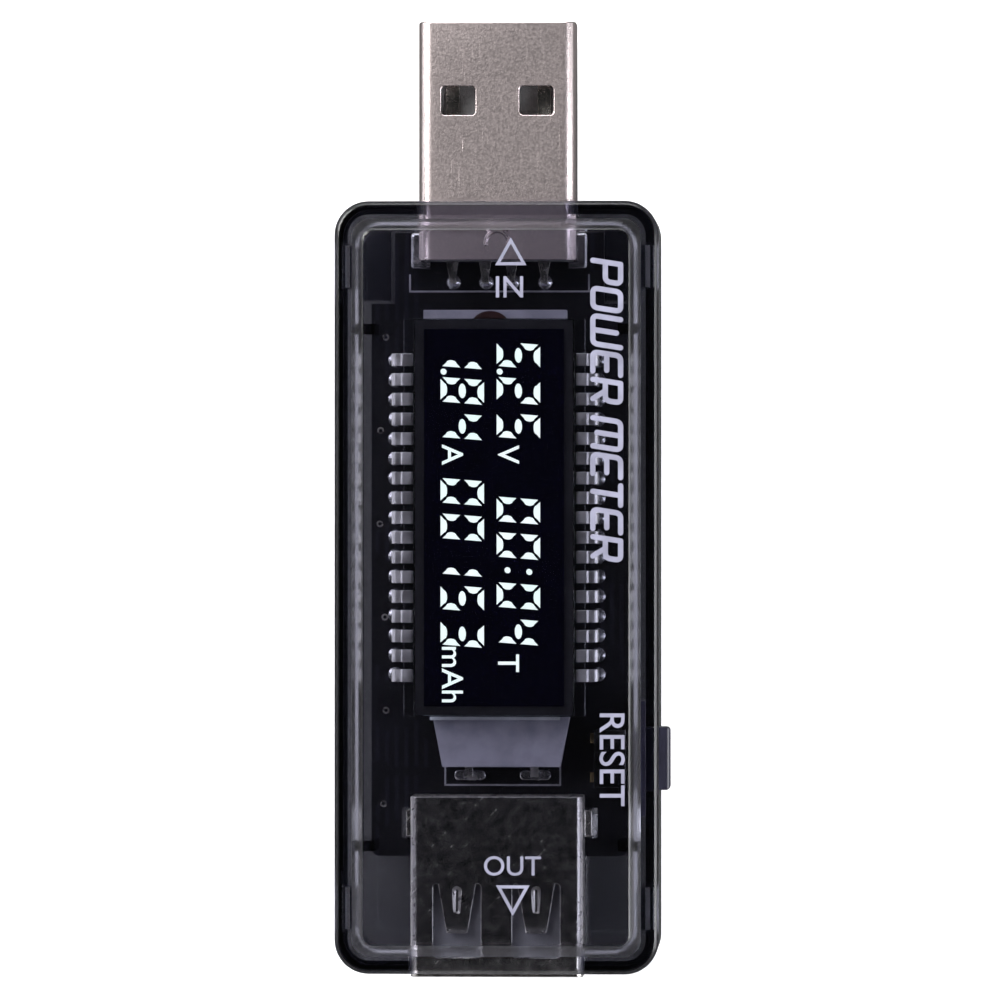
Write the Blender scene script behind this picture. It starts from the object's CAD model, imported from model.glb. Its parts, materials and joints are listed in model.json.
"""Looks of an inline USB power meter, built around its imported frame.

A smoke-clear case holds a black board with a plug at the +Y end, a socket at the -Y end, a lit segment
display between them and a reset button on the +X side. All lengths are metres in the frame's own axes.
"""

import json
import logging
import math
from dataclasses import dataclass, field
from enum import Enum

import bmesh
import bpy
import numpy as np
from mathutils import Matrix, Vector

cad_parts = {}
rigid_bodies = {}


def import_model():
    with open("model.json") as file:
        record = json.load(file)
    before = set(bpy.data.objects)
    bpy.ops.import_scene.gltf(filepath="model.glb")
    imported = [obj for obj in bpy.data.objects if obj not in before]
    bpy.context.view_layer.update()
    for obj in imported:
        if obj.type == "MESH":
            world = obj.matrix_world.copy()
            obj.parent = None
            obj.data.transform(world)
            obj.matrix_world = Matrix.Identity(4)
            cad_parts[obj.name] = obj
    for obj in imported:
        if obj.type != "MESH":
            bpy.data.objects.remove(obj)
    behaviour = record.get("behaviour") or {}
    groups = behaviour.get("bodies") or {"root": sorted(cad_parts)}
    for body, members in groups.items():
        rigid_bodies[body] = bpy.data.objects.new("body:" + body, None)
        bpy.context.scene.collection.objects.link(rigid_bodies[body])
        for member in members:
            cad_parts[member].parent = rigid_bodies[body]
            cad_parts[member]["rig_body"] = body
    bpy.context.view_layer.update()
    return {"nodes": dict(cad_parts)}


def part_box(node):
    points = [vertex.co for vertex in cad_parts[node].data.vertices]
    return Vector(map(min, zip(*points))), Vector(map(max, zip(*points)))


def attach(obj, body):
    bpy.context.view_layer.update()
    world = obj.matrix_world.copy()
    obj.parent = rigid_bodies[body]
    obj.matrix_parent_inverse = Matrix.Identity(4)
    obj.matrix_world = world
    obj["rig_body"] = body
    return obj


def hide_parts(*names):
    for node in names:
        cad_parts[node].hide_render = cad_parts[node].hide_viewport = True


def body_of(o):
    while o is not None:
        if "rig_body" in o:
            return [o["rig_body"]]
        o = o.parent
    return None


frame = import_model()

MM = 0.001
MERGE = 1e-7                # points nearer than this are one point
FLAT_DEG = 0.5              # faces that turn less than this are one flat face
SHARP_DEG = 32.0            # edges that turn more than this are rounded
CONTRAST = {"From Min": 0.35, "From Max": 0.65}     # span of a noise that becomes 0 to 1
CAP_SHARE = 0.7             # height of a capital as a share of the type's size
TYPE_WEIGHT = 0.012 * MM    # how much fatter the lettering is than its plain face
TYPE_DEPTH = 0.008 * MM     # thickness of the lettering
LOG = logging.getLogger("power_meter")

Mesh = bpy.types.Mesh
Node = bpy.types.Node
Object = bpy.types.Object
Output = bpy.types.NodeSocket
Tree = bpy.types.NodeTree
Feed = float | Output
Colour = tuple[float, float, float]
Outlines = list[np.ndarray]


# ---------------------------------------------------------------------------------------------- node graphs
class Graph:
    """Places nodes in one tree and joins them by socket name."""

    def __init__(self, tree: Tree) -> None:
        """Takes over an empty tree.

        Args:
            tree: the material's or the group's node tree.
        """
        self.tree = tree

    def node(self, kind: str, inputs: dict | None = None, **settings: object) -> Node:
        """Adds a node, sets its properties and fills or links its inputs.

        Args:
            kind: the node's type name without the "ShaderNode" in front.
            inputs: input name or index to a value or to another node's output socket.
            settings: properties of the node.

        Returns:
            The new node.
        """
        made = self.tree.nodes.new("ShaderNode" + kind)
        for key, value in settings.items():
            setattr(made, key, value)
        for key, value in (inputs or {}).items():
            if isinstance(value, Output):
                self.tree.links.new(value, made.inputs[key])
            else:
                made.inputs[key].default_value = value
        return made

    def math(self, operation: str, first: Feed, second: Feed = 0.0) -> Output:
        """One math node; gives its output."""
        return self.node("Math", {0: first, 1: second}, operation=operation).outputs[0]

    def blend(self, factor: Feed, first: Colour | Output, second: Colour | Output) -> Output:
        """Mixes two colours by a factor.

        Args:
            factor: a value or socket from 0 to 1.
            first: colour at 0, a value or a socket.
            second: colour at 1, a value or a socket.

        Returns:
            The mixed colour's socket.
        """
        def full(colour: Colour | Output) -> tuple[float, ...] | Output:
            """A socket as it is, or a colour with full alpha."""
            return colour if isinstance(colour, Output) else (*colour, 1.0)

        made = self.node("Mix", {0: factor, 6: full(first), 7: full(second)}, data_type="RGBA")
        return made.outputs[2]

    def spread(self, value: Feed, low: float, high: float) -> Output:
        """Maps 0..1 to low..high."""
        return self.node("MapRange", {"Value": value, "To Min": low, "To Max": high}).outputs[0]

    def bump(self, height: Output, strength: float, distance: float) -> Output:
        """Normal bent by a height; gives the normal."""
        return self.node("Bump", {"Height": height, "Strength": strength, "Distance": distance}).outputs[0]

    def show(self, shader: Node, out: Node, socket: str = "Surface") -> None:
        """Links a shader to the output node."""
        self.tree.links.new(shader.outputs[0], out.inputs[socket])

    def shadowless(self, shader: Node, tint: Colour) -> Node:
        """Lets light on its way to the pieces behind pass straight through a clear surface.

        Args:
            shader: what every other ray meets.
            tint: colour that the light takes on.

        Returns:
            The mixed shader.
        """
        straight = self.node("BsdfTransparent", {"Color": (*tint, 1.0)})
        shadow = self.node("LightPath").outputs["Is Shadow Ray"]
        return self.node("MixShader", {0: shadow, 1: shader.outputs[0], 2: straight.outputs[0]})


def new_group(name: str, inputs: dict[str, float], outputs: list[str]) -> tuple[Graph, Node, Node]:
    """Makes an empty shader group with float sockets.

    Args:
        name: the group's name.
        inputs: input names with their defaults.
        outputs: output names.

    Returns:
        The group's graph, its input node and its output node.
    """
    tree = bpy.data.node_groups.new(name, "ShaderNodeTree")
    for key, default in inputs.items():
        socket = tree.interface.new_socket(key, in_out="INPUT", socket_type="NodeSocketFloat")
        socket.default_value = default
    for key in outputs:
        tree.interface.new_socket(key, in_out="OUTPUT", socket_type="NodeSocketFloat")
    graph = Graph(tree)
    return graph, tree.nodes.new("NodeGroupInput"), tree.nodes.new("NodeGroupOutput")


def speckle_group() -> Tree:
    """Group "speckle": fine two-scale grain as Height, and broad cloudy patches as Patch."""
    if "speckle" in bpy.data.node_groups:
        return bpy.data.node_groups["speckle"]
    graph, given, out = new_group("speckle", {"Grain": 4000.0, "Cloud": 300.0}, ["Height", "Patch"])
    where = graph.node("TexCoord").outputs["Object"]
    fine = graph.node("TexNoise", {"Vector": where, "Scale": given.outputs["Grain"], "Detail": 3.0})
    cloud = graph.node("TexNoise", {"Vector": where, "Scale": given.outputs["Cloud"], "Detail": 4.0})
    graph.tree.links.new(fine.outputs["Fac"], out.inputs["Height"])
    sharper = graph.node("MapRange", {"Value": cloud.outputs["Fac"], **CONTRAST})
    graph.tree.links.new(sharper.outputs[0], out.inputs["Patch"])
    return graph.tree


def scratch_group() -> Tree:
    """Group "scratches": thin parallel lines at a given angle, broken up along their length, as Mask."""
    if "scratches" in bpy.data.node_groups:
        return bpy.data.node_groups["scratches"]
    share_reach = 0.5       # how far a full share lowers the noise level where a line is deepest
    softness = 0.32         # span of the noise from a line's rim to its middle
    graph, given, out = new_group(
        "scratches", {"Angle": 0.8, "Across": 9000.0, "Along": 300.0, "Share": 0.35}, ["Mask"]
    )
    where = graph.node("TexCoord").outputs["Object"]
    turned = graph.node(
        "VectorRotate", {"Vector": where, "Angle": given.outputs["Angle"]}, rotation_type="Z_AXIS"
    )
    stretch = graph.node("CombineXYZ", {
        "X": given.outputs["Across"], "Y": given.outputs["Along"], "Z": given.outputs["Along"],
    })
    scaled = graph.node("VectorMath", {0: turned.outputs[0], 1: stretch.outputs[0]}, operation="MULTIPLY")
    lines = graph.node("TexNoise", {"Vector": scaled.outputs[0], "Scale": 1.0, "Detail": 2.0})
    upper = graph.math("SUBTRACT", 1.0, graph.math("MULTIPLY", given.outputs["Share"], share_reach))
    start = graph.math("SUBTRACT", upper, softness)
    mask = graph.node("MapRange", {"Value": lines.outputs["Fac"], "From Min": start, "From Max": upper})
    graph.tree.links.new(mask.outputs[0], out.inputs["Mask"])
    return graph.tree


def facing_group() -> Tree:
    """Group "facing": Edge is 1 off level faces, Slope is 1 on sloped faces but not on upright ones."""
    if "facing" in bpy.data.node_groups:
        return bpy.data.node_groups["facing"]
    graph, _, out = new_group("facing", {}, ["Edge", "Slope"])
    upward = graph.node("SeparateXYZ", {0: graph.node("TexCoord").outputs["Normal"]}).outputs["Z"]
    level = graph.math("ABSOLUTE", upward)
    edge = graph.node("MapRange", {"Value": level, "From Min": 0.99, "From Max": 0.9}).outputs[0]
    leaning = graph.node("MapRange", {"Value": level, "From Min": 0.1, "From Max": 0.3}).outputs[0]
    graph.tree.links.new(edge, out.inputs["Edge"])
    graph.tree.links.new(graph.math("MULTIPLY", edge, leaning), out.inputs["Slope"])
    return graph.tree


# ---------------------------------------------------------------------------------------------- finishes
@dataclass(frozen=True)
class Finish:
    """One surface finish; gives the same material each time it is asked."""

    name: str
    colour: Colour
    roughness: float = 0.4

    def material(self) -> bpy.types.Material:
        """Gives the material, made on first use.

        Returns:
            The finish's one material.
        """
        if self.name in bpy.data.materials and bpy.data.materials[self.name].get("finished"):
            return bpy.data.materials[self.name]
        made = bpy.data.materials.new(self.name)
        made["finished"] = True
        made.use_nodes = True
        made.node_tree.nodes.clear()
        graph = Graph(made.node_tree)
        out = graph.node("OutputMaterial")
        self.build(graph, out)
        return made

    def build(self, graph: Graph, out: Node) -> None:
        """Fills the material.

        Args:
            graph: the material's graph.
            out: its output node.
        """
        raise NotImplementedError

    def group(self, graph: Graph, tree: Tree, **values: float) -> Node:
        """Places a node group with its own values.

        Args:
            graph: the material's graph.
            tree: the group.
            values: input names with their values.

        Returns:
            The group node.
        """
        made = graph.tree.nodes.new("ShaderNodeGroup")
        made.node_tree = tree
        for key, value in values.items():
            made.inputs[key].default_value = value
        return made

    def shade(self, factor: float) -> Colour:
        """The colour made lighter or darker."""
        return tuple(min(1.0, part * factor) for part in self.colour)


@dataclass(frozen=True)
class MouldedPlastic(Finish):
    """Opaque moulded plastic: fine spark-eroded grain, faint clouding, an even gloss."""

    grain: float = 5000.0
    cloud_scale: float = 500.0
    depth: float = 0.04
    relief: float = 0.02 * MM
    specular: float = 0.5

    def build(self, graph: Graph, out: Node) -> None:
        """Grain drives bump and roughness, clouding the colour."""
        speckle = self.group(graph, speckle_group(), Grain=self.grain, Cloud=self.cloud_scale)
        colour = graph.blend(speckle.outputs["Patch"], self.shade(0.82), self.shade(1.15))
        rough = graph.spread(speckle.outputs["Height"], self.roughness * 0.8, self.roughness * 1.25)
        shader = graph.node("BsdfPrincipled", {
            "Base Color": colour, "Roughness": rough, "Specular IOR Level": self.specular,
            "Normal": graph.bump(speckle.outputs["Height"], self.depth, self.relief),
        })
        graph.show(shader, out)


@dataclass(frozen=True)
class PlatedSheet(Finish):
    """Nickel or tin plate on stamped sheet: crystalline grain, patches of dulling, drawn scratches."""

    grain: float = 6000.0
    depth: float = 0.25
    relief: float = 0.02 * MM
    scratch_angle: float = 0.0
    scratch_share: float = 0.25
    scratch_across: float = 9000.0
    scratch_along: float = 260.0
    dull: float = 0.15
    cloud: float = 0.06
    cloud_scale: float = 700.0
    scratch_depth: float = 0.8
    scratch_dull: float = 0.0
    edge_dull: float = 0.0
    edge_bare: float = 0.0

    def build(self, graph: Graph, out: Node) -> None:
        """Grain and scratches go to bump, patches to colour and roughness."""
        speckle = self.group(graph, speckle_group(), Grain=self.grain, Cloud=self.cloud_scale)
        lines = self.group(
            graph, scratch_group(), Angle=self.scratch_angle, Across=self.scratch_across,
            Along=self.scratch_along, Share=self.scratch_share,
        )
        base = graph.blend(speckle.outputs["Patch"], self.shade(1 - self.cloud), self.shade(1 + self.cloud))
        grainy = graph.node("MapRange", {"Value": speckle.outputs["Height"], **CONTRAST}).outputs[0]
        colour = graph.blend(grainy, graph.blend(0.5, base, self.shade(1 - 2 * self.cloud)), base)
        patchy = graph.spread(speckle.outputs["Patch"], self.roughness, self.roughness + self.dull)
        dulled = graph.math("MULTIPLY", lines.outputs["Mask"], self.scratch_dull)
        scratched = graph.math("ADD", patchy, dulled)
        edge = self.group(graph, facing_group()).outputs["Edge"]
        rough = graph.math("ADD", scratched, graph.math("MULTIPLY", edge, self.edge_dull))
        plated = graph.math("SUBTRACT", 1.0, graph.math("MULTIPLY", edge, self.edge_bare))
        grooves = graph.math("MULTIPLY", lines.outputs["Mask"], -self.scratch_depth)
        height = graph.math("ADD", speckle.outputs["Height"], grooves)
        shader = graph.node("BsdfPrincipled", {
            "Base Color": colour, "Roughness": rough, "Metallic": plated,
            "Normal": graph.bump(height, self.depth, self.relief),
        })
        graph.show(shader, out)


@dataclass(frozen=True)
class SmokePlastic(Finish):
    """Smoke-clear polycarbonate: clear surface, dark only through its own thickness."""

    density: float = 500.0
    refraction: float = 1.5
    frost: float = 0.27
    grain: float = 700.0
    cloud_scale: float = 120.0
    depth: float = 0.02
    relief: float = 0.01 * MM

    def build(self, graph: Graph, out: Node) -> None:
        """Glass with absorption; light on its way to the inner pieces passes straight through."""
        speckle = self.group(graph, speckle_group(), Grain=self.grain, Cloud=self.cloud_scale)
        polished = graph.spread(speckle.outputs["Patch"], self.roughness, self.roughness * 1.8)
        slope = self.group(graph, facing_group()).outputs["Slope"]
        rough = graph.math("ADD", polished, graph.math("MULTIPLY", slope, self.frost))
        shader = graph.node("BsdfPrincipled", {
            "Base Color": (1.0, 1.0, 1.0, 1.0), "Roughness": rough, "IOR": self.refraction,
            "Transmission Weight": 1.0,
            "Normal": graph.bump(speckle.outputs["Height"], self.depth, self.relief),
        })
        inside = graph.node("VolumeAbsorption", {"Color": (*self.colour, 1.0), "Density": self.density})
        graph.show(graph.shadowless(shader, (1.0, 1.0, 1.0)), out)
        graph.show(inside, out, "Volume")


@dataclass(frozen=True)
class ClearPane(Finish):
    """Polished glass or acrylic that light crosses straight."""

    refraction: float = 1.5
    grain: float = 900.0
    cloud_scale: float = 200.0
    depth: float = 0.01
    relief: float = 0.01 * MM

    def build(self, graph: Graph, out: Node) -> None:
        """Glass with faint waviness."""
        speckle = self.group(graph, speckle_group(), Grain=self.grain, Cloud=self.cloud_scale)
        shader = graph.node("BsdfPrincipled", {
            "Base Color": (*self.colour, 1.0), "Roughness": self.roughness, "IOR": self.refraction,
            "Transmission Weight": 1.0,
            "Normal": graph.bump(speckle.outputs["Patch"], self.depth, self.relief),
        })
        graph.show(graph.shadowless(shader, self.colour), out)


@dataclass(frozen=True)
class LitFilm(Finish):
    """Film area that the backlight shines through."""

    strength: float = 3.0
    edge: Colour = (0.7, 0.95, 0.9)
    grain: float = 2500.0
    cloud_scale: float = 260.0

    def build(self, graph: Graph, out: Node) -> None:
        """Light whose tint drifts a little over the surface."""
        speckle = self.group(graph, speckle_group(), Grain=self.grain, Cloud=self.cloud_scale)
        tint = graph.blend(speckle.outputs["Patch"], self.colour, self.edge)
        shader = graph.node("BsdfPrincipled", {
            "Base Color": (0.5, 0.5, 0.5, 1.0), "Roughness": self.roughness, "Emission Color": tint,
            "Emission Strength": self.strength,
        })
        graph.show(shader, out)


@dataclass(frozen=True)
class BoardMask(Finish):
    """Black solder mask over copper: glossy, with fine parallel copper tracks that lift it a little."""

    grain: float = 3500.0
    cloud_scale: float = 150.0
    cell_scale: float = 260.0
    track_scale: float = 420.0
    tracked_share: float = 0.62
    track_shade: float = 2.2
    grain_share: float = 0.15
    depth: float = 0.3
    relief: float = 0.03 * MM

    def build(self, graph: Graph, out: Node) -> None:
        """Tracks are bands of a wave, broken into stretches by a cell pattern."""
        where = graph.node("TexCoord").outputs["Object"]
        cells = graph.node("TexVoronoi", {"Vector": where, "Scale": self.cell_scale}, distance="CHEBYCHEV")
        waves = graph.node("TexWave", {"Vector": where, "Scale": self.track_scale}, bands_direction="X")
        band = graph.node("MapRange", {"Value": waves.outputs["Fac"], "From Min": 0.55, "From Max": 0.7})
        tracked = graph.math("GREATER_THAN", cells.outputs["Color"], self.tracked_share)
        tracks = graph.math("MULTIPLY", band.outputs[0], tracked)
        speckle = self.group(graph, speckle_group(), Grain=self.grain, Cloud=self.cloud_scale)
        base = graph.blend(speckle.outputs["Patch"], self.shade(0.7), self.shade(1.3))
        colour = graph.blend(tracks, base, self.shade(self.track_shade))
        grainy = graph.math("MULTIPLY", speckle.outputs["Height"], self.grain_share)
        height = graph.math("ADD", grainy, tracks)
        rough = graph.spread(speckle.outputs["Height"], self.roughness * 0.8, self.roughness * 1.3)
        shader = graph.node("BsdfPrincipled", {
            "Base Color": colour, "Roughness": rough, "Specular IOR Level": 0.35,
            "Normal": graph.bump(height, self.depth, self.relief),
        })
        graph.show(shader, out)


SMOKE = SmokePlastic("smoke_clear_plastic", (0.08, 0.08, 0.2), 0.02, density=600.0)
SMOKE_BASE = SmokePlastic("smoke_clear_plastic_base", (0.08, 0.085, 0.22), 0.03, density=230.0)
PIN = PlatedSheet("display_pin_tin", (0.92, 0.91, 0.92), 0.28, depth=0.12)
PIN_SOLDER = PlatedSheet("display_pin_solder", (0.34, 0.34, 0.37), 0.16, grain=2500.0, depth=0.3)
BUTTON = MouldedPlastic("button_plastic", (0.036, 0.035, 0.055), 0.3)
MASK = BoardMask("black_solder_mask", (0.004, 0.004, 0.007), 0.35)
PLUG_NICKEL = PlatedSheet(
    "plug_nickel", (0.88, 0.765, 0.76), 0.33, grain=8000.0, depth=0.7, scratch_share=0.02, dull=0.05,
    cloud=0.06, cloud_scale=5200.0, edge_dull=-0.14,
)
SOCKET_NICKEL = PlatedSheet(
    "socket_nickel", (0.62, 0.6, 0.57), 0.17, depth=0.22, scratch_angle=0.75, scratch_share=0.2, dull=0.08,
    cloud=0.05, cloud_scale=1500.0, scratch_depth=1.5, scratch_dull=0.08, edge_dull=0.08, edge_bare=0.28,
)
TIN = PlatedSheet("tinned_sheet", (0.72, 0.7, 0.69), 0.22, depth=0.2)
SOLDER = PlatedSheet("solder_metal", (0.75, 0.75, 0.78), 0.15, grain=2500.0, depth=0.6)
GOLD = PlatedSheet("contact_gold", (0.85, 0.66, 0.36), 0.2, depth=0.1)
STEEL = PlatedSheet("switch_steel", (0.16, 0.16, 0.17), 0.12, depth=0.05)
TONGUE = MouldedPlastic("plug_tongue_grey", (0.26, 0.26, 0.27), 0.5)
CONTACT = PlatedSheet(
    "plug_contact_plate", (0.74, 0.72, 0.68), 0.16, depth=0.1, edge_dull=0.2, edge_bare=0.4,
)
INSULATOR = MouldedPlastic("insulator_black", (0.012, 0.012, 0.013), 0.45)
GLASS = ClearPane("display_glass", (0.92, 0.95, 0.95), 0.02)
ACRYLIC = ClearPane("light_guide_acrylic", (0.95, 0.96, 0.97), 0.03, 1.49)
FILM = MouldedPlastic(
    "polariser_film", (0.002, 0.0016, 0.009), 0.12, grain=3000.0, depth=0.01, specular=0.3,
)
RESIN = MouldedPlastic("seal_resin", (0.035, 0.012, 0.01), 0.35)
PALE = MouldedPlastic("backlight_pale", (0.36, 0.355, 0.42), 0.5)
DIFFUSER = MouldedPlastic("diffuser_film", (0.7, 0.72, 0.75), 0.6)
EPOXY = MouldedPlastic("chip_epoxy", (0.012, 0.012, 0.013), 0.55)
TAN = MouldedPlastic("capacitor_ceramic", (0.42, 0.29, 0.16), 0.45)
GLAZE = MouldedPlastic("resistor_glaze", (0.01, 0.01, 0.012), 0.25)
INK = MouldedPlastic("label_ink", (0.33, 0.33, 0.44), 0.55, grain=9000.0)
BOARD_INK = MouldedPlastic("board_ink", (0.3, 0.3, 0.34), 0.6, grain=9000.0)
BORDER_INK = MouldedPlastic("display_border_ink", (0.02, 0.02, 0.024), 0.3)
LIT = LitFilm("lit_segment", (0.9, 1.0, 0.9), 0.4, 1.9, (0.8, 1.0, 0.86))


# ---------------------------------------------------------------------------------------------- mesh tools
def link_new(name: str, data: bpy.types.ID) -> Object:
    """New object for some data, linked into the scene.

    Args:
        name: the object's name.
        data: its mesh, curve, light or camera.

    Returns:
        The new object.
    """
    made = bpy.data.objects.new(name, data)
    bpy.context.scene.collection.objects.link(made)
    return made


def add_piece(name: str, mesh: Mesh, finish: Finish, body: str) -> Object:
    """Puts a mesh in the scene as a piece that rides a body.

    Args:
        name: the piece's name.
        mesh: its mesh, already in place.
        finish: what it is dressed in.
        body: the body it moves with.

    Returns:
        The new object.
    """
    piece = link_new(name, mesh)
    mesh.materials.clear()
    mesh.materials.append(finish.material())
    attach(piece, body)
    return piece


def plate_mesh(name: str, outlines: Outlines, low: float, high: float) -> Mesh:
    """Flat plates of even thickness: every outline swept from low to high, with a cap at each end.

    Args:
        name: the mesh's name.
        outlines: closed outlines, each an (n, 2) array that runs anticlockwise.
        low: height of the lower caps.
        high: height of the upper caps.

    Returns:
        One mesh of all the plates.
    """
    points, faces, start = [], [], 0
    for outline in outlines:
        count = len(outline)
        ring = np.arange(count)
        after = np.roll(ring, -1)
        points.append(np.column_stack([outline, np.full(count, low)]))
        points.append(np.column_stack([outline, np.full(count, high)]))
        sides = np.column_stack([ring, after, after + count, ring + count]) + start
        faces += sides.tolist()
        faces.append((ring[::-1] + start).tolist())
        faces.append((ring + count + start).tolist())
        start += 2 * count
    mesh = bpy.data.meshes.new(name)
    mesh.from_pydata(np.concatenate(points).tolist(), [], faces)
    mesh.update()
    return mesh


def stroke_outline(path: np.ndarray, width: float, closed: bool = False) -> Outlines:
    """Ribbon of even width about a path, with mitred bends and half-round ends.

    Each point is moved sideways along the mean of its two runs' normals, divided by the cosine of
    half the turn, so that both edges stay parallel to the runs.

    Args:
        path: (n, 2) points.
        width: the ribbon's width.
        closed: whether the path joins up; it then gives four-sided tiles instead of one outline.

    Returns:
        Outlines for plate_mesh.
    """
    half = width / 2
    runs = np.diff(path, axis=0, append=path[:1]) if closed else np.diff(path, axis=0)
    runs /= np.linalg.norm(runs, axis=1)[:, None]
    before = np.roll(runs, 1, axis=0) if closed else np.vstack([runs[:1], runs])
    after = runs if closed else np.vstack([runs, runs[-1:]])
    normal = np.column_stack([-(before + after)[:, 1], (before + after)[:, 0]])
    length = np.linalg.norm(normal, axis=1)[:, None]
    offset = normal / length * (half / np.clip(length / 2, 0.3, 1.0))
    left, right = path + offset, path - offset
    if closed:
        left2, right2 = np.roll(left, -1, axis=0), np.roll(right, -1, axis=0)
        return [np.array(tile) for tile in zip(right, right2, left2, left)]
    bow = np.linspace(0, math.pi, 9)[1:-1, None]

    def cap(centre: np.ndarray, heading: np.ndarray) -> np.ndarray:
        """Half circle from the right edge round to the left edge."""
        side = np.array([heading[1], -heading[0]])
        return centre + half * (np.cos(bow) * side + np.sin(bow) * heading)

    return [np.vstack([right, cap(path[-1], runs[-1]), left[::-1], cap(path[0], -runs[0])])]


def arc(cx: float, cy: float, radius: float, start: float, end: float, steps: int = 12) -> np.ndarray:
    """Points on a circle between two angles in degrees."""
    angle = np.radians(np.linspace(start, end, steps + 1))
    return np.column_stack([cx + radius * np.cos(angle), cy + radius * np.sin(angle)])


def disc(cx: float, cy: float, radius: float, sides: int = 16) -> np.ndarray:
    """Closed outline of a small round spot, without its first point repeated."""
    return arc(cx, cy, radius, 0, 360 - 360 / sides, sides - 1)


def rounded_path(points: list[tuple[float, float]], radius: float, closed: bool = False) -> np.ndarray:
    """Polyline whose corners are replaced by quadratic curves that start radius before them.

    Args:
        points: the polyline's points.
        radius: how far from a corner its curve starts and ends.
        closed: whether the polyline joins up.

    Returns:
        (n, 2) points.
    """
    corners = np.array(points, float)
    count = len(corners)
    out = []
    for i in range(count):
        if not closed and i in (0, count - 1):
            out.append(corners[i][None])
            continue
        here, back, ahead = corners[i], corners[i - 1], corners[(i + 1) % count]
        start = here + (back - here) / np.linalg.norm(back - here) * radius
        end = here + (ahead - here) / np.linalg.norm(ahead - here) * radius
        t = np.linspace(0, 1, 7)[:, None]
        out.append((1 - t) ** 2 * start + 2 * t * (1 - t) * here + t ** 2 * end)
    return np.vstack(out)


def counter_clockwise(outline: np.ndarray) -> np.ndarray:
    """Turns an outline round if its signed area is negative.

    Args:
        outline: (n, 2) points.

    Returns:
        The same points in anticlockwise order.
    """
    x, y = outline.T
    area = np.sum(x * np.roll(y, -1) - np.roll(x, -1) * y)
    return outline if area > 0 else outline[::-1]


def text_mesh(words: str, size: float) -> Mesh:
    """Plain sans lettering as a flat mesh, centred on the origin.

    Args:
        words: what it says.
        size: height of the type.

    Returns:
        The mesh, lying in the XY plane.
    """
    curve = bpy.data.curves.new(words, "FONT")
    curve.body = words
    curve.size = size
    curve.offset = TYPE_WEIGHT
    curve.align_x = "CENTER"
    curve.align_y = "CENTER"
    curve.extrude = TYPE_DEPTH / 2
    curve.resolution_u = 6
    holder = link_new(words, curve)
    bpy.context.view_layer.update()
    mesh = bpy.data.meshes.new_from_object(holder)
    bpy.data.objects.remove(holder)
    return mesh


def merged(name: str, meshes: list[Mesh]) -> Mesh:
    """Joins meshes into one.

    Args:
        name: the new mesh's name.
        meshes: meshes already in place.

    Returns:
        The joined mesh, with no material.
    """
    points, faces, start = [], [], 0
    for mesh in meshes:
        co = np.empty(len(mesh.vertices) * 3, np.float32)
        mesh.vertices.foreach_get("co", co)
        points.append(co.reshape(-1, 3))
        faces += [[v + start for v in polygon.vertices] for polygon in mesh.polygons]
        start += len(mesh.vertices)
    whole = bpy.data.meshes.new(name)
    whole.from_pydata(np.concatenate(points).tolist(), [], faces)
    whole.update()
    return whole


def rounded_copy(node: str, width: float, finish: Finish, even: bool = False) -> Object:
    """Copy of a carried-over node with merged points, flat faces made whole and its edges rounded.

    Args:
        node: the node that the copy stands for.
        width: width of the rounding.
        finish: what the copy is dressed in.
        even: whether the rounding keeps its width beside the smallest features.

    Returns:
        The copy, riding the node's own body.
    """
    source = frame["nodes"][node]
    shape = bmesh.new()
    shape.from_mesh(source.data)
    shape.transform(source.matrix_world)
    bmesh.ops.remove_doubles(shape, verts=shape.verts, dist=MERGE)
    bmesh.ops.dissolve_limit(
        shape, angle_limit=math.radians(FLAT_DEG), verts=shape.verts, edges=shape.edges,
        use_dissolve_boundaries=False,
    )
    for face in shape.faces:
        face.smooth = True
    for edge in shape.edges:
        edge.smooth = edge.calc_face_angle(0.0) < math.radians(SHARP_DEG)
    mesh = bpy.data.meshes.new(node + "_rounded")
    shape.to_mesh(mesh)
    shape.free()
    if "custom_normal" in mesh.attributes:
        mesh.attributes.remove(mesh.attributes["custom_normal"])
    piece = add_piece(node + "_rounded", mesh, finish, body_of(source)[0])
    bevel = piece.modifiers.new("edge_rounding", "BEVEL")
    bevel.width = width
    bevel.segments = 3
    bevel.limit_method = "ANGLE"
    bevel.angle_limit = math.radians(SHARP_DEG)
    bevel.harden_normals = True
    bevel.use_clamp_overlap = not even
    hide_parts(node)
    return piece


@dataclass
class Assembly:
    """A sub-assembly: its carried-over nodes with a finish and an edge rounding each, and new pieces."""

    def finishes(self) -> dict[str, tuple[Finish, float]]:
        """Finish and edge rounding of each carried-over node; 0 leaves the node's own mesh in use."""
        return {}

    def evenly_rounded(self) -> set[str]:
        """Nodes of stamped sheet, whose cut edges are rounded alike all round."""
        return set()

    def extras(self) -> list[Object]:
        """Pieces made here and not in the frame."""
        return []

    def build(self) -> list[Object]:
        """Dresses the carried-over nodes and makes the new pieces.

        Returns:
            Every piece of the sub-assembly.
        """
        pieces = []
        for node, (finish, width) in self.finishes().items():
            slot = frame["nodes"][node].material_slots[0]
            if width > 0:
                pieces.append(rounded_copy(node, width, finish, node in self.evenly_rounded()))
            else:
                slot.material = finish.material()
                pieces.append(frame["nodes"][node])
        return pieces + self.extras()


@dataclass
class Case(Assembly):
    """Smoke-clear tray and lid."""

    def finishes(self) -> dict[str, tuple[Finish, float]]:
        """Both halves in smoke-clear plastic."""
        return {"bottom_shell": (SMOKE_BASE, 0.0), "top_cover": (SMOKE, 0.0)}


@dataclass
class ResetButton(Assembly):
    """Side button."""

    edge: float = 0.06 * MM

    def finishes(self) -> dict[str, tuple[Finish, float]]:
        """Dark moulded plastic."""
        return {"reset_button": (BUTTON, self.edge)}


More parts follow.
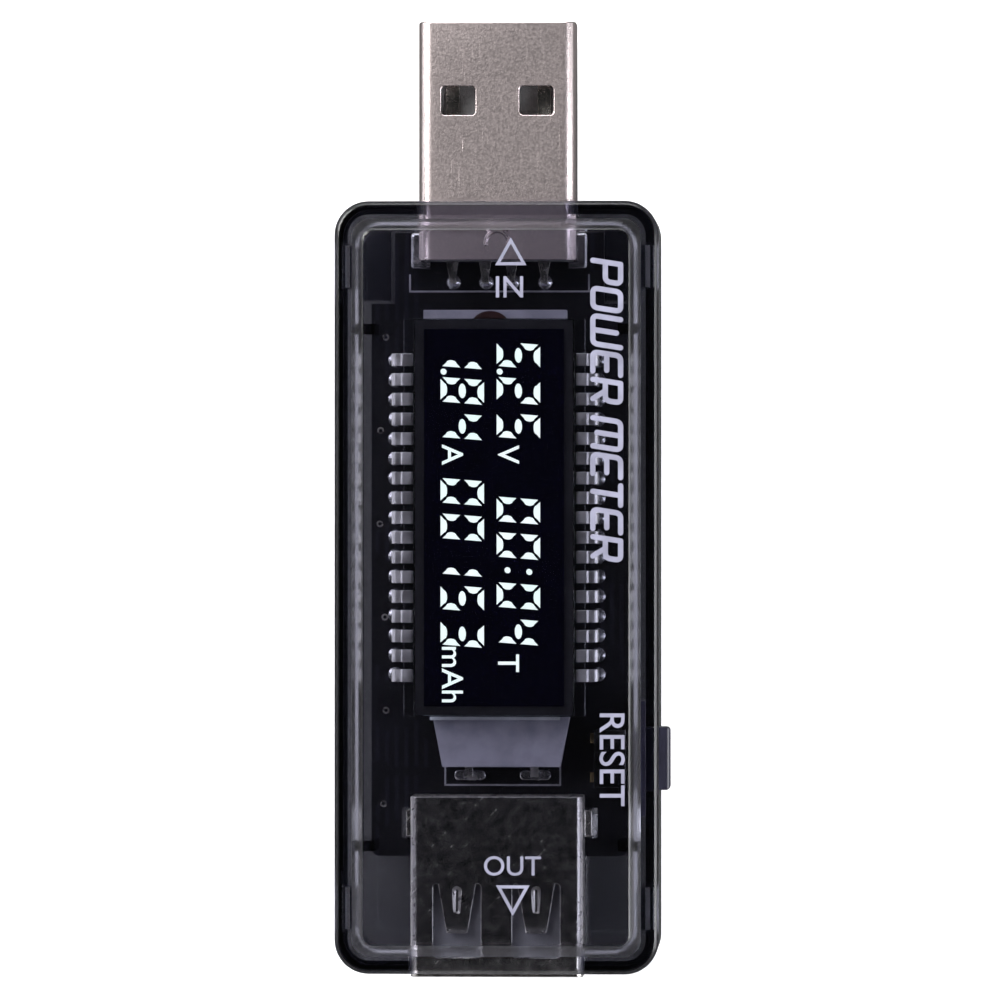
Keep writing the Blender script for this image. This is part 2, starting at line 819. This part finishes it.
@dataclass
class Plug(Assembly):
    """Plug shell, its tongue, contacts and solder."""

    sheet_edge: float = 0.08 * MM
    contact_edge: float = 0.04 * MM

    def finishes(self) -> dict[str, tuple[Finish, float]]:
        """Grainy nickel outside, grey tongue, bright contacts."""
        return {
            "plug_shell": (PLUG_NICKEL, self.sheet_edge), "plug_insulator": (TONGUE, self.sheet_edge),
            "plug_contacts": (CONTACT, self.contact_edge), "plug_solder": (SOLDER, 0.0),
        }

    def evenly_rounded(self) -> set[str]:
        """The shell, with its windows and lock."""
        return {"plug_shell"}


@dataclass
class Socket(Assembly):
    """Socket shell with its spring tongues, block, contacts and solder."""

    sheet_edge: float = 0.08 * MM
    contact_edge: float = 0.04 * MM
    solder_edge: float = 0.08 * MM

    def finishes(self) -> dict[str, tuple[Finish, float]]:
        """Polished, scratched nickel outside, grey block, gilt contacts."""
        return {
            "socket_shell": (SOCKET_NICKEL, self.sheet_edge), "socket_insulator": (TONGUE, self.sheet_edge),
            "socket_contacts": (GOLD, self.contact_edge), "socket_solder": (SOLDER, self.solder_edge),
        }

    def evenly_rounded(self) -> set[str]:
        """The shell, with its slots and spring tongues."""
        return {"socket_shell"}


@dataclass
class Backlight(Assembly):
    """Pale housing with the tapered neck, its light guide, lamps and leads."""

    edge: float = 0.08 * MM
    lead_edge: float = 0.03 * MM

    def finishes(self) -> dict[str, tuple[Finish, float]]:
        """Pale plastic, clear guide, milky film."""
        return {
            "backlight_housing": (PALE, self.edge), "backlight_light_guide": (ACRYLIC, 0.0),
            "backlight_diffuser": (DIFFUSER, 0.0), "backlight_lamps": (DIFFUSER, 0.0),
            "backlight_leads": (TIN, self.lead_edge), "backlight_solder": (SOLDER, 0.0),
        }


@dataclass
class ResetSwitch(Assembly):
    """Small push switch behind the button."""

    edge: float = 0.04 * MM

    def finishes(self) -> dict[str, tuple[Finish, float]]:
        """Black body, steel cover and dome, gilt feet."""
        return {
            "switch_body": (INSULATOR, 0.0), "switch_cover": (STEEL, self.edge),
            "switch_plunger": (INSULATOR, self.edge), "switch_dome": (STEEL, 0.0),
            "switch_terminals": (GOLD, self.edge),
        }


@dataclass
class UndersideParts(Assembly):
    """Everything soldered under the board."""

    edge: float = 0.04 * MM
    lead_edge: float = 0.02 * MM
    can_edge: float = 0.12 * MM

    def finishes(self) -> dict[str, tuple[Finish, float]]:
        """Matt packages, tinned leads, tan and black ceramics, a tinned can.

        Returns:
            Node names with their finish and edge rounding.
        """
        packages = ("controller_chip", "memory_chip", "voltage_regulator")
        leads = ("controller_leads", "memory_leads", "regulator_leads", "shunt_terminals",
                 "capacitor_terminals", "resistor_terminals")
        chosen = {name: (EPOXY, self.edge) for name in packages}
        chosen.update({name: (TIN, self.lead_edge) for name in leads})
        chosen["chip_capacitors"] = (TAN, self.edge)
        chosen["chip_resistors"] = (GLAZE, self.edge)
        chosen["current_shunt"] = (GLAZE, self.edge)
        chosen["timing_crystal"] = (TIN, self.can_edge)
        return chosen


# ---------------------------------------------------------------------------------------------- display
class Segment(Enum):
    """The seven strokes of a digit: heading in degrees, place in half widths and quarter heights."""

    TOP = (0, 0, 2)
    MIDDLE = (0, 0, 0)
    BOTTOM = (180, 0, -2)
    UPPER_LEFT = (90, -1, 1)
    LOWER_LEFT = (90, -1, -1)
    UPPER_RIGHT = (270, 1, 1)
    LOWER_RIGHT = (270, 1, -1)


S = Segment
DIGITS: dict[str, tuple[Segment, ...]] = {
    "0": (S.TOP, S.BOTTOM, S.UPPER_LEFT, S.LOWER_LEFT, S.UPPER_RIGHT, S.LOWER_RIGHT),
    "1": (S.UPPER_RIGHT, S.LOWER_RIGHT),
    "2": (S.TOP, S.MIDDLE, S.BOTTOM, S.UPPER_RIGHT, S.LOWER_LEFT),
    "3": (S.TOP, S.MIDDLE, S.BOTTOM, S.UPPER_RIGHT, S.LOWER_RIGHT),
    "4": (S.MIDDLE, S.UPPER_LEFT, S.UPPER_RIGHT, S.LOWER_RIGHT),
    "5": (S.TOP, S.MIDDLE, S.BOTTOM, S.UPPER_LEFT, S.LOWER_RIGHT),
    "8": tuple(Segment),
}


@dataclass
class Readout:
    """One row of lit digits and its unit, written along the display's length."""

    digits: str
    unit: str
    across: float
    start: float
    unit_start: float


@dataclass
class Display(Assembly):
    """Two-row segment display: glass, films, pins, border print, lit segments and units."""

    digit_width: float = 1.86 * MM
    digit_height: float = 3.3 * MM
    stroke: float = 0.5 * MM
    middle_share: float = 0.55
    mitre: float = 0.3 * MM
    gap: float = 0.15 * MM
    pitch: float = 2.69 * MM
    slant: float = 0.08
    dot_radius: float = 0.23 * MM
    colon_room: float = 1.11 * MM
    unit_height: float = 1.62 * MM
    unit_size: float = 1.42
    proud: float = 0.012 * MM
    border_gap: float = 0.12 * MM
    glass_edge: float = 0.09 * MM
    pin_edge: float = 0.05 * MM
    rows: list[Readout] = field(default_factory=lambda: [
        Readout("5.25", "V", 1.86 * MM, -12.3 * MM, -4.78 * MM),
        Readout("00:04", "T", 1.86 * MM, -0.54 * MM, 11.03 * MM),
        Readout("1.84", "A", -2.4 * MM, -12.3 * MM, -4.78 * MM),
        Readout("00153", "mAh", -2.4 * MM, -1.95 * MM, 11.9 * MM),
    ])

    def __post_init__(self) -> None:
        """Reads the display's place from the film."""
        low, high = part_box("display_front_polariser")
        self.centre = (low + high) / 2
        self.top = high.z
        self.film = (low, high)

    def petal(self, segment: Segment) -> np.ndarray:
        """One stroke: straight outside with mitred ends, inside bowed as part of an ellipse.

        The outside edge runs from -L to L. Each end slopes in at 45 degrees to the mitre depth, and
        between the two slopes the inside edge is v = mitre + (stroke - mitre) * cos(a) over a
        quarter turn each way. The middle stroke is bowed both ways about its own line.

        Args:
            segment: which of the seven strokes.

        Returns:
            Its closed outline about the digit's middle.
        """
        turn, sideways, up = segment.value
        along_cell = self.digit_width if turn % 180 == 0 else self.digit_height / 2
        half = along_cell / 2 - self.gap
        angle = np.linspace(-math.pi / 2, math.pi / 2, 15)
        bow = np.cos(angle)
        if segment is Segment.MIDDLE:
            half = along_cell / 2 - self.mitre - self.gap / 2
            u = np.concatenate([half * np.sin(angle), half * np.sin(angle[::-1])])
            v = np.concatenate([bow, -bow[::-1]]) * self.stroke * self.middle_share
        else:
            reach = half - self.mitre
            u = np.concatenate([[-half], reach * np.sin(angle), [half]])
            v = -np.concatenate([[0.0], self.mitre + (self.stroke - self.mitre) * bow, [0.0]])
        spin = math.radians(turn)
        x = u * math.cos(spin) - v * math.sin(spin) + sideways * self.digit_width / 2
        y = u * math.sin(spin) + v * math.cos(spin) + up * self.digit_height / 4
        return counter_clockwise(np.column_stack([x, y]))

    def on_display(self, outline: np.ndarray, along: float, across: float) -> np.ndarray:
        """Slants an upright outline and turns it so that it reads towards -Y with its top to +X.

        Args:
            outline: points about the mark's own middle.
            along: how far along the row its middle lies.
            across: how far across the display the row lies.

        Returns:
            The outline in its place.
        """
        x = outline[:, 0] + self.slant * outline[:, 1] + along
        y = outline[:, 1] + across
        return np.column_stack([self.centre.x + y, self.centre.y - x])

    def row_outlines(self, row: Readout) -> Outlines:
        """Works out one row mark by mark.

        Args:
            row: what it shows and where it starts.

        Returns:
            All lit outlines of the row.
        """
        outlines = []
        along = row.start
        for mark in row.digits:
            if mark == ".":
                spot = disc(-self.pitch / 2, -self.digit_height / 2 + self.dot_radius, self.dot_radius)
                outlines.append(self.on_display(spot, along, row.across))
                continue
            if mark == ":":
                for height in (-self.digit_height / 4, self.digit_height / 4):
                    spot = disc(0, height, self.dot_radius)
                    middle = along - (self.pitch - self.colon_room) / 2
                    outlines.append(self.on_display(spot, middle, row.across))
                along += self.colon_room
                continue
            outlines += [self.on_display(self.petal(s), along, row.across) for s in DIGITS[mark]]
            along += self.pitch
        return outlines

    def finishes(self) -> dict[str, tuple[Finish, float]]:
        """Clear glass between dark films, tinned pins."""
        return {
            "display_front_glass": (GLASS, self.glass_edge), "display_rear_glass": (GLASS, self.glass_edge),
            "display_front_polariser": (FILM, 0.0), "display_rear_polariser": (FILM, 0.0),
            "display_fill_seal": (RESIN, self.glass_edge), "display_pins_left": (PIN, self.pin_edge),
            "display_pins_right": (PIN, self.pin_edge), "display_solder_left": (PIN_SOLDER, 0.0),
            "display_solder_right": (PIN_SOLDER, 0.0),
        }

    def extras(self) -> list[Object]:
        """Makes the border print, the lit digits and the units.

        Returns:
            The three new pieces.
        """
        low, high = self.top, self.top + self.proud
        pieces = []
        lit = [outline for row in self.rows for outline in self.row_outlines(row)]
        mesh = plate_mesh("display_digits", lit, low, high)
        pieces.append(add_piece("display_digits", mesh, LIT, "case"))
        units = []
        for row in self.rows:
            mesh = text_mesh(row.unit, self.unit_height * self.unit_size)
            x = self.centre.x + row.across - self.digit_height / 2 + self.unit_height / 2
            y = self.centre.y - row.unit_start
            turn = Matrix.Rotation(-math.pi / 2, 4, "Z")
            mesh.transform(Matrix.Translation((x, y, (low + high) / 2)) @ turn)
            units.append(mesh)
        mesh = merged("display_units", units)
        pieces.append(add_piece("display_units", mesh, LIT, "case"))
        pieces.append(self.border())
        return pieces

    def border(self) -> Object:
        """Dark print round the film, on the front glass.

        Returns:
            The new piece.
        """
        glass_low, glass_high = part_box("display_front_glass")
        film_low, film_high = self.film
        inner = [(film_low.x, film_low.y), (film_high.x, film_low.y), (film_high.x, film_high.y),
                 (film_low.x, film_high.y)]
        gap = self.border_gap
        outer = [(glass_low.x + gap, glass_low.y + gap), (glass_high.x - gap, glass_low.y + gap),
                 (glass_high.x - gap, glass_high.y - gap), (glass_low.x + gap, glass_high.y - gap)]
        tiles = [
            np.array([outer[i], outer[(i + 1) % 4], inner[(i + 1) % 4], inner[i]]) for i in range(4)
        ]
        top = glass_high.z
        mesh = plate_mesh("display_border", tiles, top, top + self.proud)
        return add_piece("display_border", mesh, BORDER_INK, "case")


# ---------------------------------------------------------------------------------------------- labels
@dataclass
class Labels(Assembly):
    """Pale print on the cover: the two port names with their arrows, the reset name and the long title."""

    proud: float = 0.01 * MM
    sink: float = 0.004 * MM
    thin: float = 0.24 * MM
    bold: float = 0.4 * MM
    title_height: float = 2.1 * MM
    title_round: float = 0.2
    title_wide: float = 0.8
    title_broad: float = 1.16
    title_short: float = 0.85
    title_waist: float = 0.45
    title_gap: float = 0.34
    title_space: float = 0.45
    title_stretch: float = 0.87
    title_slant: float = 0.18
    layer_step: float = 0.003 * MM
    title_inset: float = 4.95 * MM
    title_below: float = 0.1 * MM
    in_height: float = 1.62 * MM
    in_x: float = 1.05 * MM
    in_below: float = 2.2 * MM
    in_arrow_x: float = 1.15 * MM
    in_arrow_below: float = 0.35 * MM
    in_arrow_half: float = 0.98 * MM
    in_arrow_height: float = 1.75 * MM
    out_height: float = 1.45 * MM
    out_x: float = 1.25 * MM
    out_below: float = 5.25 * MM
    out_arrow_x: float = 1.3 * MM
    out_arrow_below: float = 6.75 * MM
    out_arrow_half: float = 1.07 * MM
    out_arrow_height: float = 1.95 * MM
    reset_height: float = 1.9 * MM
    reset_inset: float = 3.6 * MM
    reset_shift: float = 0.15 * MM

    def __post_init__(self) -> None:
        """Reads the cover's top."""
        self.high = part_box("top_cover")[1]
        self.top = self.high.z

    def print_mesh(self, name: str, mesh: Mesh) -> Object:
        """Adds a printed piece."""
        return add_piece(name, mesh, INK, "case")

    def word(self, name: str, words: str, height: float, x: float, y: float, turn: float) -> Object:
        """Prints a plain word.

        Args:
            name: the piece's name.
            words: what it says.
            height: height of its capitals.
            x: where its middle lies.
            y: where its middle lies.
            turn: degrees about Z.

        Returns:
            The new piece.
        """
        mesh = text_mesh(words, height / CAP_SHARE)
        spin = Matrix.Rotation(math.radians(turn), 4, "Z")
        mesh.transform(Matrix.Translation((x, y, self.top + self.proud / 2)) @ spin)
        return self.print_mesh(name, mesh)

    def arrow(self, name: str, x: float, y: float, half: float, height: float, up: bool) -> Object:
        """Prints an outline triangle.

        Args:
            name: the piece's name.
            x: middle of its base.
            y: middle of its base.
            half: half its base.
            height: from base to tip.
            up: whether it points along +Y and not -Y.

        Returns:
            The new piece.
        """
        sign = 1 if up else -1
        corners = np.array([(x - sign * half, y), (x + sign * half, y), (x, y + sign * height)])
        tiles = stroke_outline(corners, self.thin, closed=True)
        tiles = [counter_clockwise(tile) for tile in tiles]
        return self.print_mesh(name, plate_mesh(name, tiles, self.top - self.sink, self.top + self.proud))

    def letter(self, mark: str) -> list[tuple[np.ndarray, bool]]:
        """Centre lines of one title letter in a cell 1 high.

        Args:
            mark: the letter.

        Returns:
            Its strokes, each with whether it is a closed loop.
        """
        wide, broad, short = self.title_wide, self.title_broad, self.title_short
        waist = self.title_waist
        middle = broad / 2

        def run(*points: tuple[float, float]) -> tuple[np.ndarray, bool]:
            """A straight stroke."""
            return np.array(points, float), False

        def bend(*points: tuple[float, float], closed: bool = False) -> tuple[np.ndarray, bool]:
            """A stroke with rounded corners."""
            return rounded_path(list(points), self.title_round, closed), closed

        stem = run((0, 0), (0, 1))
        bowl = bend((0, 1), (wide, 1), (wide, waist), (0, waist))
        shapes = {
            "P": [stem, bowl],
            "O": [bend((0, 0), (wide, 0), (wide, 1), (0, 1), closed=True)],
            "W": [bend((0, 1), (0, 0), (broad, 0), (broad, 1)), run((middle, 0), (middle, short))],
            "E": [bend((wide, 1), (0, 1), (0, 0), (wide, 0)), run((0, 0.5), (short * wide, 0.5))],
            "R": [stem, bowl, run((wide / 2, waist), (wide, 0))],
            "M": [bend((0, 0), (0, 1), (broad, 1), (broad, 0)), run((middle, 1), (middle, 1 - short))],
            "T": [run((0, 1), (wide, 1)), run((wide / 2, 1), (wide / 2, 0))],
        }
        return shapes[mark]

    def title(self, words: str, x: float, y: float) -> Object:
        """Slanted rounded title that reads towards -Y, starting at y, with its foot at x.

        Strokes that cross lie a little above one another, so that no two faces share a plane.

        Args:
            words: what it says.
            x: where its foot lies.
            y: where it starts.

        Returns:
            The new piece.
        """
        layers: list[Outlines] = [[], [], []]
        stretched = self.title_height * self.title_stretch
        along = 0.0
        for mark in words:
            if mark == " ":
                along += self.title_space
                continue
            for layer, (line, closed) in enumerate(self.letter(mark)):
                u = (line[:, 0] + along + self.title_slant * line[:, 1]) * stretched
                v = line[:, 1] * self.title_height
                path = np.column_stack([x + v, y - u])
                layers[layer] += [counter_clockwise(o) for o in stroke_outline(path, self.bold, closed)]
            along += (self.title_broad if mark in "MW" else self.title_wide) + self.title_gap
        meshes = []
        for layer, outlines in enumerate(layers):
            level = self.top + layer * self.layer_step
            meshes.append(plate_mesh("stroke", outlines, level - self.sink, level + self.proud))
        return self.print_mesh("label_title", merged("label_title", meshes))

    def extras(self) -> list[Object]:
        """Makes all the print.

        Returns:
            The six new pieces.
        """
        plug_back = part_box("plug_shell")[0].y
        socket_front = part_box("socket_shell")[1].y
        button_low, button_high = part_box("reset_button")
        button_y = (button_low.y + button_high.y) / 2
        right = self.high.x
        return [
            self.word("label_in", "IN", self.in_height, self.in_x, plug_back - self.in_below, 0),
            self.arrow(
                "label_in_arrow", self.in_arrow_x, plug_back - self.in_arrow_below, self.in_arrow_half,
                self.in_arrow_height, True,
            ),
            self.word("label_out", "OUT", self.out_height, self.out_x, socket_front - self.out_below, 0),
            self.arrow(
                "label_out_arrow", self.out_arrow_x, socket_front - self.out_arrow_below,
                self.out_arrow_half, self.out_arrow_height, False,
            ),
            self.word(
                "label_reset", "RESET", self.reset_height, right - self.reset_inset,
                button_y + self.reset_shift, -90,
            ),
            self.title("POWER METER", right - self.title_inset, plug_back - self.title_below),
        ]


# ---------------------------------------------------------------------------------------------- board
@dataclass
class Board(Assembly):
    """Masked circuit board with thin pale outlines printed on it and a few plated through holes."""

    line: float = 0.14 * MM
    proud: float = 0.02 * MM
    edge: float = 0.05 * MM
    bracket_side: float = 0.1 * MM
    bracket_foot: float = 0.15 * MM
    bracket_below: float = 1.0 * MM
    box_side: float = 0.7 * MM
    box_foot: float = 0.2 * MM
    box_top: float = 0.9 * MM
    holes: int = 6
    hole_radius: float = 0.2 * MM
    hole_ring: float = 0.12 * MM
    hole_out: float = 0.95
    hole_in: float = 0.88
    hole_from: float = 4.0 * MM
    hole_to: float = 8.0 * MM
    seed: int = 7

    def __post_init__(self) -> None:
        """Reads the board's top."""
        self.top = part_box("circuit_board")[1].z

    def finishes(self) -> dict[str, tuple[Finish, float]]:
        """Black solder mask."""
        return {"circuit_board": (MASK, self.edge)}

    def extras(self) -> list[Object]:
        """Makes the plug bracket, the backlight box and the plated holes.

        Returns:
            The two new pieces.
        """
        solder_low, solder_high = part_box("plug_solder")
        lead_low, lead_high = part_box("backlight_solder")
        bracket_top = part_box("plug_shell")[0].y - self.bracket_below
        print_lines = [
            self.bracket(
                solder_low.x - self.bracket_side, solder_high.x + self.bracket_side,
                solder_low.y - self.bracket_foot, bracket_top,
            ),
            self.bracket(
                lead_low.x - self.box_side, lead_high.x + self.box_side,
                lead_low.y - self.box_foot, lead_high.y + self.box_top,
            ),
        ]
        mesh = plate_mesh("board_print", print_lines, self.top, self.top + self.proud)
        return [add_piece("board_print", mesh, BOARD_INK, "case"), self.plated_holes()]

    def bracket(self, left: float, right: float, foot: float, top: float) -> np.ndarray:
        """Outline of a printed line that runs down, across and up again.

        Args:
            left: where it runs down.
            right: where it runs up.
            foot: where it runs across.
            top: where both its ends lie.

        Returns:
            The outline for plate_mesh.
        """
        path = np.array([(left, top), (left, foot), (right, foot), (right, top)])
        return counter_clockwise(stroke_outline(path, self.line)[0])

    def plated_holes(self) -> Object:
        """Small flat rings in a loose row along the -X edge.

        Returns:
            The new piece.
        """
        rng = np.random.default_rng(self.seed)
        low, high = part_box("circuit_board")
        across = rng.uniform(-self.hole_out, -self.hole_in, self.holes) * high.x
        along = np.linspace(low.y + self.hole_from, high.y - self.hole_to, self.holes)
        rings = []
        for x, y in zip(across, along):
            path = disc(x, y, self.hole_radius)
            rings += stroke_outline(path, self.hole_ring, closed=True)
        rings = [counter_clockwise(ring) for ring in rings]
        mesh = plate_mesh("board_plated_holes", rings, self.top, self.top + self.proud)
        return add_piece("board_plated_holes", mesh, TIN, "case")


# ---------------------------------------------------------------------------------------------- studio
@dataclass
class Studio:
    """White sweep, soft lights and the camera straight above."""

    distance: float = 0.6
    tilt_deg: float = 2.3
    view_width: float = 76.35 * MM
    look_x: float = 0.15 * MM
    look_y: float = 6.6 * MM
    look_z: float = 6.6 * MM
    floor_glow: float = 0.8
    floor_bounce: float = 0.13
    shade_width: float = 0.6 * MM
    floor_drop: float = 0.05 * MM
    horizon: float = 1.0
    horizon_bias: float = -0.45
    dome_side: float = 0.35
    dome_top: float = 0.018
    floor_half: float = 3.0
    film_width: float = 36.0

    def floor(self) -> Object:
        """Ground that the camera sees white, also through clear pieces, except right under the case.

        Every other ray meets a dark ground, so that it throws little light up into the case.

        Returns:
            The floor, staged.
        """
        half = self.floor_half
        mesh = bpy.data.meshes.new("studio_floor")
        low = -self.floor_drop
        corners = [(-half, -half, low), (half, -half, low), (half, half, low), (-half, half, low)]
        mesh.from_pydata(corners, [], [(0, 1, 2, 3)])
        made = link_new("studio_floor", mesh)
        material = bpy.data.materials.new("studio_white")
        material.use_nodes = True
        material.node_tree.nodes.clear()
        graph = Graph(material.node_tree)
        seen = graph.node("BsdfPrincipled", {
            "Base Color": (0.9, 0.9, 0.9, 1), "Roughness": 0.9, "Specular IOR Level": 0.1,
            "Emission Color": (1, 1, 1, 1), "Emission Strength": self.floor_glow,
        })
        bounced = graph.node("BsdfDiffuse", {"Color": (self.floor_bounce,) * 3 + (1,)})
        rays = graph.node("LightPath").outputs
        through_clear = graph.math("MULTIPLY", rays["Is Transmission Ray"], self.outside(graph))
        pale = graph.math("MAXIMUM", rays["Is Camera Ray"], through_clear)
        mixed = graph.node("MixShader", {0: pale, 1: bounced.outputs[0], 2: seen.outputs[0]})
        graph.show(mixed, graph.node("OutputMaterial"))
        mesh.materials.append(material)
        return made

    def outside(self, graph: Graph) -> Output:
        """Tells the ground under the case from the ground beyond it, by distance from the case's box.

        Args:
            graph: the floor material's graph.

        Returns:
            0 under the case, 1 beyond it.
        """
        low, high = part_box("bottom_shell")
        where = graph.node("SeparateXYZ", {0: graph.node("TexCoord").outputs["Object"]}).outputs
        past_x = graph.math("SUBTRACT", graph.math("ABSOLUTE", where["X"]), (high.x - low.x) / 2)
        past_y = graph.math("SUBTRACT", graph.math("ABSOLUTE", where["Y"]), (high.y - low.y) / 2)
        nearest = graph.math("MAXIMUM", past_x, past_y)
        span = {"Value": nearest, "From Min": 0.0, "From Max": self.shade_width}
        return graph.node("MapRange", span).outputs[0]

    def lamp(self, name: str, place: Colour, size: tuple[float, float], power: float, tint: Colour) -> None:
        """Rectangular soft light that faces the object.

        Args:
            name: the lamp's name.
            place: where it hangs.
            size: its width and height.
            power: watts.
            tint: colour of the light.
        """
        light = bpy.data.lights.new(name, "AREA")
        light.shape = "RECTANGLE"
        light.size, light.size_y = size
        light.energy = power
        light.color = tint
        made = link_new(name, light)
        made.location = place
        made.rotation_euler = (Vector((0, 0.005, 0)) - Vector(place)).to_track_quat("-Z", "Y").to_euler()

    def camera(self) -> None:
        """Long lens above the object, leaning a little to the button's side."""
        lens = bpy.data.cameras.new("camera")
        lens.sensor_width = self.film_width
        lens.lens = self.film_width * self.distance / self.view_width
        lens.clip_start = 0.01
        made = link_new("camera", lens)
        lean = math.radians(self.tilt_deg)
        away = Vector((math.sin(lean), 0, math.cos(lean)))
        right = Vector((math.cos(lean), 0, -math.sin(lean)))
        up = away.cross(right)
        turn = Matrix((right, up, away)).transposed().to_4x4()
        target = Vector((self.look_x, self.look_y, self.look_z))
        made.matrix_world = Matrix.Translation(target + away * self.distance) @ turn
        bpy.context.scene.camera = made

    def surroundings(self) -> None:
        """Dark overhead, bright towards the horizon."""
        world = bpy.data.worlds.new("studio_world")
        bpy.context.scene.world = world
        world.use_nodes = True
        graph = Graph(world.node_tree)
        world.node_tree.nodes.clear()
        where = graph.node("TexCoord").outputs["Generated"]
        heading = graph.node("SeparateXYZ", {0: where}).outputs
        dome = graph.node("MapRange", {
            "Value": heading["Z"], "From Min": 0.15, "From Max": 0.95, "To Min": self.dome_side,
            "To Max": self.dome_top,
        }).outputs[0]
        band = graph.node("MapRange", {
            "Value": heading["Z"], "From Min": 0.05, "From Max": 0.3, "To Min": self.horizon, "To Max": 0.0,
        }, interpolation_type="SMOOTHSTEP").outputs[0]
        sided = graph.math("ADD", 1.0, graph.math("MULTIPLY", heading["X"], self.horizon_bias))
        level = graph.math("ADD", dome, graph.math("MULTIPLY", band, sided))
        shader = graph.node("Background", {"Color": (0.97, 0.98, 1.0, 1.0), "Strength": level})
        graph.show(shader, graph.node("OutputWorld"))

    def build(self) -> None:
        """Sets the whole studio."""
        self.floor()
        self.lamp("key_left", (-0.55, 0.35, 0.5), (0.5, 0.5), 9.0, (1.0, 0.99, 0.97))
        self.lamp("fill_right", (0.6, -0.1, 0.35), (0.25, 0.6), 4.0, (0.95, 0.97, 1.0))
        self.lamp("far_end", (0.0, 0.7, 0.35), (0.6, 0.25), 3.0, (1.0, 1.0, 1.0))
        self.camera()
        self.surroundings()
        bpy.context.scene.view_settings.view_transform = "Standard"


def main() -> None:
    """Builds the looks in order and reports each piece."""
    logging.basicConfig(level=logging.INFO, format="%(message)s")
    assemblies = (
        Case(), ResetButton(), Board(), Plug(), Socket(), Display(), Backlight(), ResetSwitch(),
        UndersideParts(), Labels(),
    )
    for assembly in assemblies:
        for piece in assembly.build():
            LOG.info("%s: %d faces", piece.name, len(piece.data.polygons))
    Studio().build()


if __name__ == "__main__":
    main()
